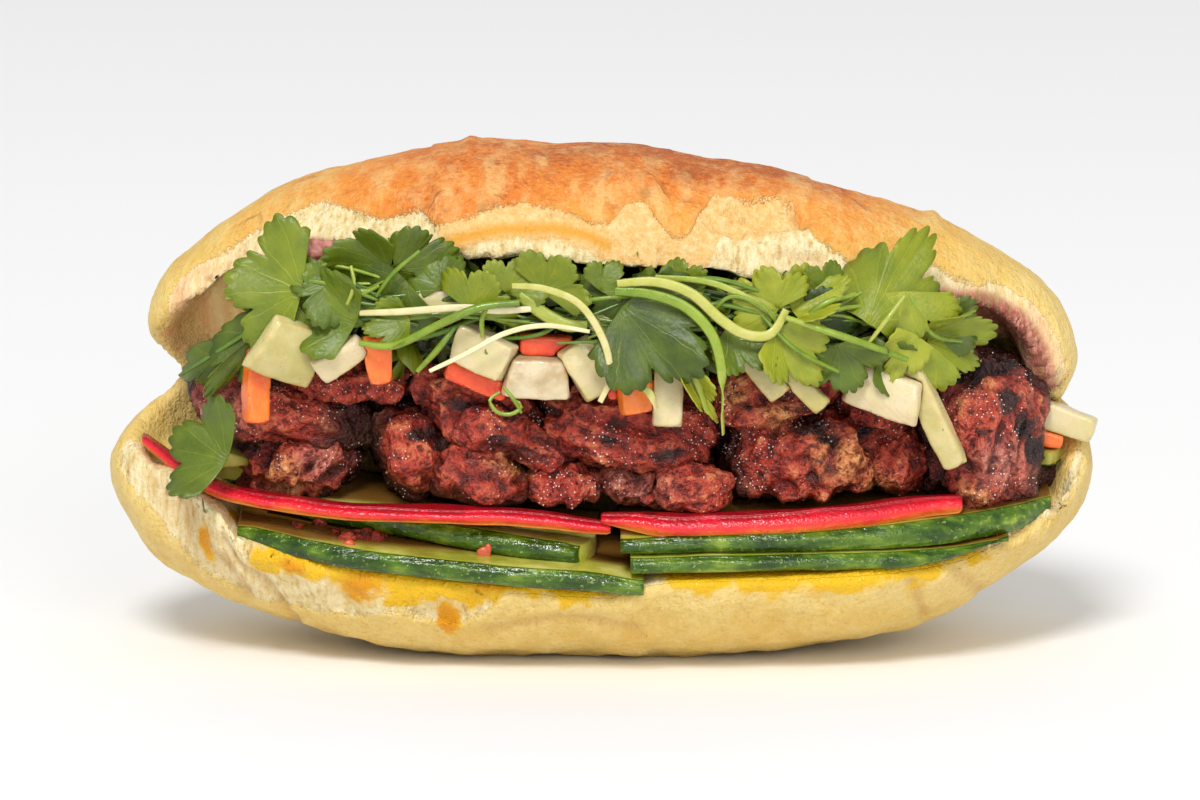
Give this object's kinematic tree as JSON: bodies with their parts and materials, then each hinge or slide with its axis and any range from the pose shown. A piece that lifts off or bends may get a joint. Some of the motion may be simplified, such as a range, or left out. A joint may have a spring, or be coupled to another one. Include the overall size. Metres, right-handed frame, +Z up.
{
  "type": "filled baguette sandwich",
  "caption": "Crusty split roll opened on one long side, filled with grilled pork chunks, cucumber planks, red pepper strips, pickled radish, carrot and coriander.",
  "frame": {"origin": "middle of the flat spot that the roll rests on, under the middle of its length and depth", "axes": "+X along the roll, to the right as seen from its open side; +Z up; the open side faces -Y"},
  "size_m": [0.1991, 0.0876, 0.1008],
  "materials": {
    "bread": "golden brown crust on top, pale floury crust below, torn cream crumb along the lips",
    "grilled_pork": "red-brown grilled meat with charred patches and an oily glaze",
    "cucumber": "wet, dark green skin with pale green cut faces",
    "red_pepper": "wet bright red skin, orange at the cut edge",
    "pickled_radish": "wet, translucent cream white",
    "carrot": "wet bright orange",
    "coriander": "fresh green leaves, stems and pale shredded onion"
  },
  "bodies": {
    "root": {"carrot_behind": "carrot", "carrot_block": "carrot", "carrot_end": "carrot", "carrot_hidden": "carrot", "carrot_round": "carrot", "carrot_slab": "carrot", "carrot_sliver": "carrot", "carrot_stick": "carrot", "coriander": "coriander", "cucumber_chip": "cucumber", "cucumber_end_chip": "cucumber", "cucumber_left_high": "cucumber", "cucumber_left_low": "cucumber", "cucumber_right_high": "cucumber", "cucumber_right_low": "cucumber", "onion_stalk": "pickled_radish", "pepper_left": "red_pepper", "pepper_right": "red_pepper", "pork_back_right": "grilled_pork", "pork_end": "grilled_pork", "pork_front_crisp": "grilled_pork", "pork_high_far": "grilled_pork", "pork_high_left": "grilled_pork", "pork_high_middle": "grilled_pork", "pork_high_right": "grilled_pork", "pork_left_long": "grilled_pork", "pork_left_low": "grilled_pork", "pork_low_middle": "grilled_pork", "pork_low_right": "grilled_pork", "pork_low_small": "grilled_pork", "pork_mid_big": "grilled_pork", "pork_mid_left": "grilled_pork", "pork_pink": "grilled_pork", "pork_right_big": "grilled_pork", "pork_slanted": "grilled_pork", "radish_block": "pickled_radish", "radish_cube": "pickled_radish", "radish_deep": "pickled_radish", "radish_end_bar": "pickled_radish", "radish_flap": "pickled_radish", "radish_flap_tip": "pickled_radish", "radish_plank": "pickled_radish", "radish_round": "pickled_radish", "radish_slant": "pickled_radish", "radish_slant_end": "pickled_radish", "radish_stick": "pickled_radish", "radish_wedge": "pickled_radish", "roll": "bread"}
  },
  "joints": []
}
